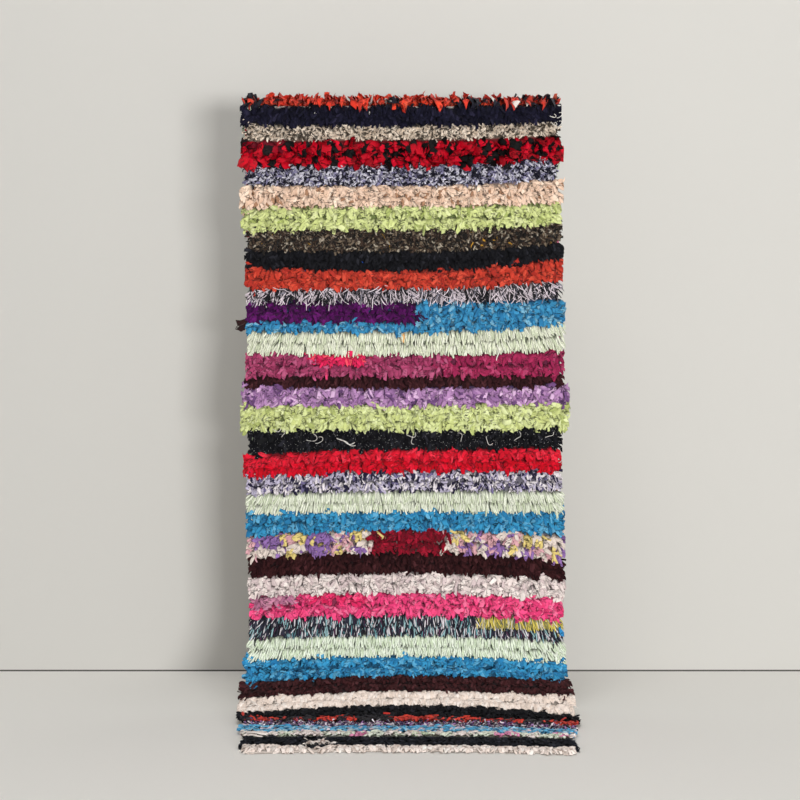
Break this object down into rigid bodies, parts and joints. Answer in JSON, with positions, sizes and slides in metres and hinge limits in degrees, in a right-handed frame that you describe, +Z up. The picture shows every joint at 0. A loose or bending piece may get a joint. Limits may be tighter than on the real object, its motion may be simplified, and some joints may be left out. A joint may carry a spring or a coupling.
{
  "type": "boucherouite rug",
  "caption": "Thick rag-pile rug in bright cross stripes, hung by a short turned-back flap over an unseen support, straight down in front, its lower end run out on the floor.",
  "frame": {"origin": "inside of the fold at the top, at the middle of the width, on the line that the support carries", "axes": "+Z up, the pile faces -Y in front and the lower end runs out along -Y on the floor, +X to the right as seen from the front"},
  "size_m": [0.9702, 0.5995, 1.7579],
  "materials": {
    "rag_pile": "knotted cotton, wool and jersey rags in stripes of many colours, matt and shaggy",
    "rim_locks": "loose ends of the same rags at the rim, matt"
  },
  "bodies": {
    "root": {"rug": "rag_pile", "left_locks_flap": "rim_locks", "left_locks_fold": "rim_locks", "left_locks_drop_1": "rim_locks", "left_locks_drop_2": "rim_locks", "left_locks_drop_3": "rim_locks", "left_locks_drop_4": "rim_locks", "left_locks_knee": "rim_locks", "left_locks_slope": "rim_locks", "left_locks_toe": "rim_locks", "left_locks_floor": "rim_locks", "right_locks_flap": "rim_locks", "right_locks_fold": "rim_locks", "right_locks_drop_1": "rim_locks", "right_locks_drop_2": "rim_locks", "right_locks_drop_3": "rim_locks", "right_locks_drop_4": "rim_locks", "right_locks_knee": "rim_locks", "right_locks_slope": "rim_locks", "right_locks_toe": "rim_locks", "right_locks_floor": "rim_locks", "floor_end_locks": "rim_locks", "flap_end_locks": "rim_locks"}
  },
  "joints": []
}
